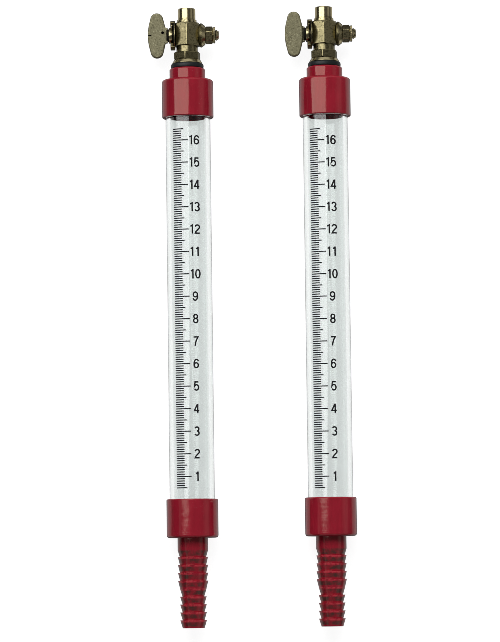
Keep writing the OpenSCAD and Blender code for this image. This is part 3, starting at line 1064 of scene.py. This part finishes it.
start_clean(short_lines)
for part in (medium_lines, long_lines, numbers):
    part.select_set(True)
bpy.ops.object.join()
left_print = bpy.context.object
left_print.name = "left_scale_print"
shifted = about_z(RIGHT_PRINT_TURN) @ Matrix.Translation((0, 0, RIGHT_PRINT_DROP))
right_print = copy_right(left_print, "right_scale_print", LAID_DOWN @ shifted @ LAID_DOWN.inverted())
for scale_print, body in ((left_print, "left_gauge"), (right_print, "right_gauge")):
    scale_print.data.materials.append(ink)
    scale_print.visible_shadow = False
    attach(scale_print, body)
print("print", len(left_print.data.polygons), "faces")

# %% [markdown]
# Cock body
#
# The body is turned from hexagon bar: a screwed end, a flange, a spanner hexagon, a neck, the hexagon
# block that holds the key, a shoulder and the vent port. One mesh could be pulled through round and
# hexagon sections, but its edges would be hard to ease. So each shape is made on its own, with its edges
# eased, and Boolean modifiers join them and drill the water way and the tapered hole for the key.


# %% Screw thread and hexagon bar
def thread(start, end, outer, depth, pitch):
    """Steps of a thread as a row of V grooves, from start to end in millimetres."""
    count = int((end - start) / pitch)
    steps = []
    for i in range(count):
        steps += [(start + i * pitch, outer - depth), (start + (i + 0.5) * pitch, outer)]
    return steps + [(start + count * pitch, outer - depth)]


def hexagon(name, width, start, end, start_edge, end_edge, eased=0.35):
    """A hexagon bar around Z with a corner to the front and turned corners at both ends, in millimetres."""
    corner_r = width / math.sqrt(3)
    start_clean()
    bpy.ops.mesh.primitive_cylinder_add(vertices=6, radius=corner_r * MM, depth=(end - start) * MM,
                                        location=(0, 0, (start + end) / 2 * MM))
    bar = settled(name)
    round_edges(bar, eased, 4)
    # The turned envelope goes a little past both ends of the bar.
    past = 0.3
    reach = corner_r - width / 2
    envelope = turned("envelope", [
        (start - past, width / 2 - past * reach / start_edge),
        (start + start_edge, corner_r),
        (end - end_edge, corner_r),
        (end + past, width / 2 - past * reach / end_edge),
    ])
    combine(bar, envelope, "INTERSECT")
    return bar


# %% Sizes of the cock
SCREW_R = 4.85
SCREW_LENGTH = 8.5
SCREW_DEPTH = 0.45
SCREW_PITCH = 1.0
FLANGE_R = 6.8
FLANGE_TOP_R = 5.9
HEX_WIDTH = 11.0
NECK_R = 4.8
SHOULDER_R = 4.4
PORT_R = 3.9
PORT_EDGE = 0.3
FLANGE_HEIGHT = 1.8
SPANNER_HEIGHT = 3.5
SPANNER_TURN = -7.5
SPANNER_EDGES = (0.2, 0.4)
BLOCK_EDGES = (0.4, 1.6)
BLOCK_DOWN = 5
BLOCK_UP = 5.5
SHOULDER_HEIGHT = 1.4
FLANGE_EDGE_IN = 0.25
FLANGE_EDGE_UP = 0.3
NECK_SLOPE = 0.4
# The screw's run-out and the neck's upper end lie inside other pieces, so their steps are rough.
HIDDEN_STEP = 0.5
flange_foot = washer_top
hex_foot = flange_foot + FLANGE_HEIGHT
hex_top = hex_foot + SPANNER_HEIGHT
key_height = key_y / MM
block_foot = key_height - BLOCK_DOWN
block_top = key_height + BLOCK_UP
port_foot = block_top + SHOULDER_HEIGHT
port_top = span("left_valve_body")[1] / MM
print("cock from", flange_foot, "to", port_top)

# %% Turned bar
cock = turned("brass_cock", [
    *thread(flange_foot - SCREW_LENGTH, flange_foot - HIDDEN_STEP, SCREW_R, SCREW_DEPTH, SCREW_PITCH),
    (flange_foot, SCREW_R - SCREW_DEPTH),
    (flange_foot, FLANGE_R - FLANGE_EDGE_IN),
    (flange_foot + FLANGE_EDGE_UP, FLANGE_R),
    (hex_foot, FLANGE_TOP_R),
    (hex_foot + NECK_SLOPE, NECK_R),
    (block_top - 2 * HIDDEN_STEP, NECK_R),
    (block_top - HIDDEN_STEP, SHOULDER_R),
    (port_foot, SHOULDER_R),
    (port_foot, PORT_R),
    (port_top - PORT_EDGE, PORT_R),
    (port_top, PORT_R - PORT_EDGE),
], facets=96)
round_edges(cock, EASED, 2, 30)
cock.data.materials.append(body_brass)
print("turned bar", len(cock.data.polygons), "faces")

# %% Hexagons on the bar
spanner_hexagon = hexagon("spanner_hexagon", HEX_WIDTH, hex_foot, hex_top, *SPANNER_EDGES)
combine(cock, set_down(spanner_hexagon, about_z(SPANNER_TURN)), "UNION")
combine(cock, hexagon("block", HEX_WIDTH, block_foot, block_top, *BLOCK_EDGES), "UNION")
set_down(cock, LAID_DOWN)
print("bar with hexagons", len(cock.data.polygons), "faces")

# %% [markdown]
# Stop rim, boss and holes
#
# On the key's side the block carries a rim with an open front, in which the key's stop pin swings. A full
# ring could be cut open, but it takes less to sweep a small rectangle round the key's axis by the angle
# that is left. A thin disc closes the block's side behind it, and a dark disc on its floor is painted
# shade. On the other side is a boss that flares towards the washer.

# %% Stop rim
RIM_R = 6.6
RIM_BORE_R = 4.3
RIM_OUT = -7.4
BLOCK_SIDE = HEX_WIDTH / 2
WINDOW_HALF = 57.1
RIM_STEPS = 72
RIM_ROUND = 0.2
FUSE = 0.2

rim_length = FUSE - BLOCK_SIDE - RIM_OUT
rim_size = (RIM_R - RIM_BORE_R, 1, rim_length)
rim_middle = ((RIM_R + RIM_BORE_R) / 2, 0, RIM_OUT + rim_length / 2)
rim = swept("stop_rim", (math.pi / 2, 0, 0), rim_size, rim_middle, RIM_STEPS, 360 - 2 * WINDOW_HALF)
round_edges(rim, RIM_ROUND, 3)
set_down(rim, ALONG_KEY @ about_z(WINDOW_HALF - 90))
print("stop rim", len(rim.data.polygons), "faces")
combine(cock, rim, "UNION")

# %% Disc, floor of painted shade and boss
RIM_FLOOR = -6.1
BOSS_R = 5.5
BOSS_OUT = 6.5
BOSS_FLARE = 0.6
rim_disc = turned("rim_disc", [(-BLOCK_SIDE - FUSE, RIM_R - FUSE), (-BLOCK_SIDE + FUSE, RIM_R - FUSE)])
combine(cock, set_down(rim_disc, ALONG_KEY), "UNION")
# Painted shade: a dark disc on the rim's floor stands for the shade in that hollow.
rim_floor = turned("rim_floor", [(RIM_FLOOR, RIM_R - 2 * FUSE), (-BLOCK_SIDE, RIM_R - 2 * FUSE)])
rim_floor.data.materials.append(recess_shade)
combine(cock, set_down(rim_floor, ALONG_KEY), "UNION")
boss = turned("boss", [
    (BLOCK_SIDE - FUSE, BOSS_R - BOSS_FLARE),
    (BOSS_OUT - FUSE, BOSS_R),
    (BOSS_OUT, BOSS_R),
])
round_edges(boss, EASED, 3, 35)
combine(cock, set_down(boss, ALONG_KEY), "UNION")
print("cock with rim and boss", len(cock.data.polygons), "faces")

# %% Holes of the cock
WAY_R = 2.0
PLUG_R = 2.95
PLUG_END_R = 2.7
PLUG_GAP = 0.05


def plug_r(place):
    """The tapered plug's radius at a place along the key's axis."""
    share = (place - RIM_FLOOR) / (BOSS_OUT - RIM_FLOOR)
    return PLUG_R + share * (PLUG_END_R - PLUG_R)


hole_ends = (RIM_FLOOR - 1, BOSS_OUT + 1)
plug_hole = turned("plug_hole", [(place, plug_r(place) + PLUG_GAP) for place in hole_ends])
combine(cock, set_down(plug_hole, ALONG_KEY), "DIFFERENCE")
water_way = turned("water_way", [(flange_foot - SCREW_LENGTH - 1, WAY_R), (port_top + 1, WAY_R)], facets=64)
combine(cock, set_down(water_way, LAID_DOWN), "DIFFERENCE")
fit_pair(cock, Matrix(), "valve_body", body_brass)

# %% [markdown]
# Key
#
# The key is one casting with a turned end: an oval paddle, a short web, a drum with a groove beside it
# that is painted dark as shade, the tapered plug with its water way and a screwed stud. The paddle is
# fuller than a stretched circle, so two round pegs and a stretched one are wrapped in a convex hull. The
# soft corners of a casting could be sculpted by hand, but then no number could change them. So a voxel
# remesh melts plate and web together, and a cloud texture pushes the surface in and out by a few
# hundredths of a millimetre. A round mark and a nick, both painted dark inside as shade, are cut into
# the front.

# %% Paddle
PADDLE_OUT = -13.5
PADDLE_HALF_W = 4.08
PADDLE_HALF_H = 10.15
PADDLE_END_R = 2.9
PADDLE_THICK = 3.0
PADDLE_ROUND = 0.6
OVAL_LESS = 0.15
key_middle = Vector((tube_middle.x, key_y, tube_middle.z))


def key_place(out, up, front):
    """A place beside the key's axis in millimetres: along it, up the gauge and towards the front."""
    return key_middle + Vector((out, up, front)) * MM


def add_peg(radius, depth, place, facets=64, scale=(1, 1, 1)):
    """A peg towards the front, in millimetres. In edit mode it joins the piece that is being edited."""
    bpy.ops.mesh.primitive_cylinder_add(vertices=facets, radius=radius * MM, depth=depth * MM,
                                        location=place, scale=scale)


start_clean()
end_up = PADDLE_HALF_H - PADDLE_END_R
oval = (PADDLE_HALF_W, PADDLE_HALF_H - OVAL_LESS, 1)
add_peg(PADDLE_END_R, PADDLE_THICK, key_place(PADDLE_OUT, end_up, 0))
paddle = settled("brass_key")
bpy.ops.object.mode_set(mode="EDIT")
add_peg(PADDLE_END_R, PADDLE_THICK, key_place(PADDLE_OUT, -end_up, 0))
add_peg(1, PADDLE_THICK, key_place(PADDLE_OUT, 0, 0), 96, oval)
bpy.ops.mesh.select_all(action="SELECT")
bpy.ops.mesh.convex_hull()
bpy.ops.mesh.select_all(action="SELECT")
bpy.ops.mesh.dissolve_limited(angle_limit=math.radians(1))
bpy.ops.object.mode_set(mode="OBJECT")
round_edges(paddle, PADDLE_ROUND, 4)
print("paddle", len(paddle.data.polygons), "faces", paddle.dimensions)

# %% Web with hollow corners
WEB_END = -8.6
WEB_HALF_H = 3.4
WEB_FILLET = 1.35
WEB_THICK = 2.2
start_clean()
web_length = WEB_END - PADDLE_OUT
web_front = (PADDLE_THICK - WEB_THICK) / 2
bpy.ops.mesh.primitive_cube_add(size=MM, location=key_place(PADDLE_OUT + web_length / 2, 0, web_front),
                                scale=(web_length, 2 * (WEB_HALF_H + WEB_FILLET), WEB_THICK))
web = settled("web")
for side in (-1, 1):
    start_clean()
    corner_place = key_place(WEB_END - FUSE, side * (WEB_HALF_H + WEB_FILLET), 0)
    add_peg(WEB_FILLET, 2 * PADDLE_THICK, corner_place, 48)
    combine(web, settled("web_corner"), "DIFFERENCE")
combine(paddle, web, "UNION")
print("paddle with web", len(paddle.data.polygons), "faces")

# %% Cast skin
VOXEL = 0.13 * MM
SAND_GRAIN = 0.45 * MM
SAND_DEPTH = 0.07 * MM
apply_modifier(paddle, "REMESH", mode="VOXEL", voxel_size=VOXEL)
apply_modifier(paddle, "SMOOTH", factor=0.5, iterations=4)
sand = bpy.data.textures.new("moulding_sand", "CLOUDS")
sand.noise_scale = SAND_GRAIN
apply_modifier(paddle, "DISPLACE", texture=sand, texture_coords="LOCAL", strength=SAND_DEPTH, mid_level=0.5)
paddle.data.materials.append(cast)
print("cast skin", len(paddle.data.polygons), "faces")

# %% Mark and nick
MARK_R = 0.65
MARK_DEPTH = 1.6
MARK_OUT = -10.9
MARK_UP = 1.2
NICK_OUT = -17.2
NICK_SIZE = (2.6, 0.45, 1.6)
# Painted shade: the mark and the nick cut the dark finish into the paddle, where shade falls in them.
start_clean()
add_peg(MARK_R, 2 * MARK_DEPTH, key_place(MARK_OUT, MARK_UP, PADDLE_THICK / 2), 32)
mark = settled("mark")
mark.data.materials.append(recess_shade)
combine(paddle, mark, "DIFFERENCE")
start_clean()
nick_place = key_place(NICK_OUT, 0, PADDLE_THICK / 2)
bpy.ops.mesh.primitive_cube_add(size=MM, location=nick_place, scale=NICK_SIZE)
nick = settled("nick")
nick.data.materials.append(recess_shade)
combine(paddle, nick, "DIFFERENCE")
print("cast paddle", len(paddle.data.polygons), "faces")

# %% Plug and stud
DRUM_R = 3.5
DRUM_OUT = -8.1
DRUM_END = -6.3
GROOVE_R = 2.9
GROOVE_OUT = -9.2
STUD_R = 2.5
STUD_END = 14.33
STUD_DEPTH = 0.35
STUD_PITCH = 0.8
STUD_RELIEF = 0.3
STUD_TIP = 0.4
STUD_TIP_R = 1.75
FINE_EDGE = 0.08
plug_end = BOSS_OUT - 2 * FUSE
spindle = turned("spindle", [
    (DRUM_OUT, DRUM_R),
    (DRUM_END, DRUM_R),
    (DRUM_END, plug_r(DRUM_END)),
    (plug_end, plug_r(plug_end)),
    (plug_end, STUD_R - STUD_DEPTH),
    *thread(plug_end + STUD_RELIEF, STUD_END - STUD_TIP, STUD_R, STUD_DEPTH, STUD_PITCH),
    (STUD_END, STUD_TIP_R),
], facets=96)
round_edges(spindle, FINE_EDGE, 2, 60)
spindle.data.materials.append(nut_brass)
# Painted shade: the groove beside the drum gets the dark finish.
groove = turned("groove", [(GROOVE_OUT, GROOVE_R), (DRUM_OUT + FUSE, GROOVE_R)])
groove.data.materials.append(recess_shade)
combine(spindle, groove, "UNION")
set_down(spindle, ALONG_KEY)
cross_way = turned("cross_way", [(-2 * PLUG_R, WAY_R), (2 * PLUG_R, WAY_R)], facets=64)
combine(spindle, set_down(cross_way, LAID_DOWN @ Matrix.Translation((0, 0, key_y))), "DIFFERENCE")
combine(paddle, spindle, "UNION")
smooth(paddle, SMOOTH_BELOW)
print("key", len(paddle.data.polygons), "faces, finishes", [m.name for m in paddle.data.materials])

# %% Both keys, the right one put in half a turn round
half_turn = ALONG_KEY @ about_z(180) @ ALONG_KEY.inverted()
paddle.name = "left_brass_key"
right_key = copy_right(paddle, "right_brass_key", half_turn)
finish_piece(paddle, "left_valve_key")
finish_piece(right_key, "right_valve_key")

# %% [markdown]
# Stop pin, dished washer and nuts
#
# A pin in the key's drum swings in the rim's window. On the far side a dished washer pulls the plug tight
# under a nut and a thin lock nut. The nuts could be plain six-sided bars, but real ones have turned
# corners, so they are made like the cock's hexagons, with a hole for the stud.

# %% Stop pin
PIN_R = 0.6
PIN_FOOT = 1.8
PIN_END = 6.0
PIN_TIP = 0.2
PIN_OUT = (RIM_OUT + RIM_FLOOR) / 2
PIN_ANGLE = -135
pin = turned("stop_peg", [
    (PIN_FOOT, PIN_R),
    (PIN_END - PIN_TIP, PIN_R),
    (PIN_END, PIN_R - PIN_TIP),
], facets=32)
round_edges(pin, FINE_EDGE, 2)
pin_place = ALONG_KEY @ Matrix.Translation((0, 0, PIN_OUT * MM)) @ about_z(PIN_ANGLE)
fit_pair(pin, pin_place @ Matrix.Rotation(math.pi / 2, 4, "Y"), "stop_pin", nut_brass)

# %% Dished washer
DISH_GAP = 0.05
DISH_FOOT = BOSS_OUT + DISH_GAP
DISH_HEIGHT = 1.7
DISH_R = 5.5
DISH_CROWN_R = 4.2
SHEET = 0.8
DISH_ROUND = 0.15
STUD_HOLE_R = 2.58
dish_slope = (DISH_R - DISH_CROWN_R) / DISH_HEIGHT
dish_hollow = DISH_HEIGHT - SHEET
dish = turned("dished_washer", [
    (DISH_FOOT, DISH_R - SHEET),
    (DISH_FOOT, DISH_R),
    (DISH_FOOT + DISH_HEIGHT, DISH_CROWN_R),
    (DISH_FOOT + DISH_HEIGHT, STUD_HOLE_R),
    (DISH_FOOT + dish_hollow, STUD_HOLE_R),
    (DISH_FOOT + dish_hollow, DISH_R - SHEET - dish_slope * dish_hollow),
    (DISH_FOOT, DISH_R - SHEET),
], facets=96)
round_edges(dish, DISH_ROUND, 3)
fit_pair(dish, ALONG_KEY, "key_washer", nut_brass)


# %% Nuts
NUT_WIDTH = 7.0
NUT_EASED = 0.2
NUT_CHAMFER = math.radians(30)
NUT_CORNER = NUT_WIDTH * (1 / math.sqrt(3) - 1 / 2) * math.tan(NUT_CHAMFER)


def fit_nuts(name, node, foot, height, turn, foot_corner):
    """A hexagon nut on each stud, its corners turned by an angle in degrees."""
    nut = hexagon(name, NUT_WIDTH, foot, foot + height, foot_corner, NUT_CORNER, NUT_EASED)
    hole = turned("stud_hole", [(foot - 1, STUD_HOLE_R), (foot + height + 1, STUD_HOLE_R)], facets=64)
    combine(nut, hole, "DIFFERENCE")
    fit_pair(nut, ALONG_KEY @ about_z(turn), node, nut_brass)


nut_foot = DISH_FOOT + DISH_HEIGHT
NUT_HEIGHT = 3.3
NUT_TURN = 43
LOCK_NUT_HEIGHT = 1.2
LOCK_NUT_TURN = 63
LOCK_NUT_CORNER = 0.9 * (LOCK_NUT_HEIGHT - NUT_CORNER)
fit_nuts("stud_nut", "key_nut", nut_foot, NUT_HEIGHT, NUT_TURN, NUT_CORNER)
fit_nuts("thin_nut", "lock_nut", nut_foot + NUT_HEIGHT, LOCK_NUT_HEIGHT, LOCK_NUT_TURN, LOCK_NUT_CORNER)

# %% [markdown]
# Rubber rings in the caps
#
# The rings behind the tube's ends are plain and hidden. They could be turned like the washer, but the CAD
# nodes already have their shape, so these stay and only get the rubber finish.

# %% Rubber rings
for side in ("left", "right"):
    for end in ("upper", "lower"):
        ring = frame["nodes"][f"{side}_{end}_tube_seal"]
        for ring_slot in ring.material_slots:
            ring_slot.material = rubber
print("rubber rings keep their CAD shape")
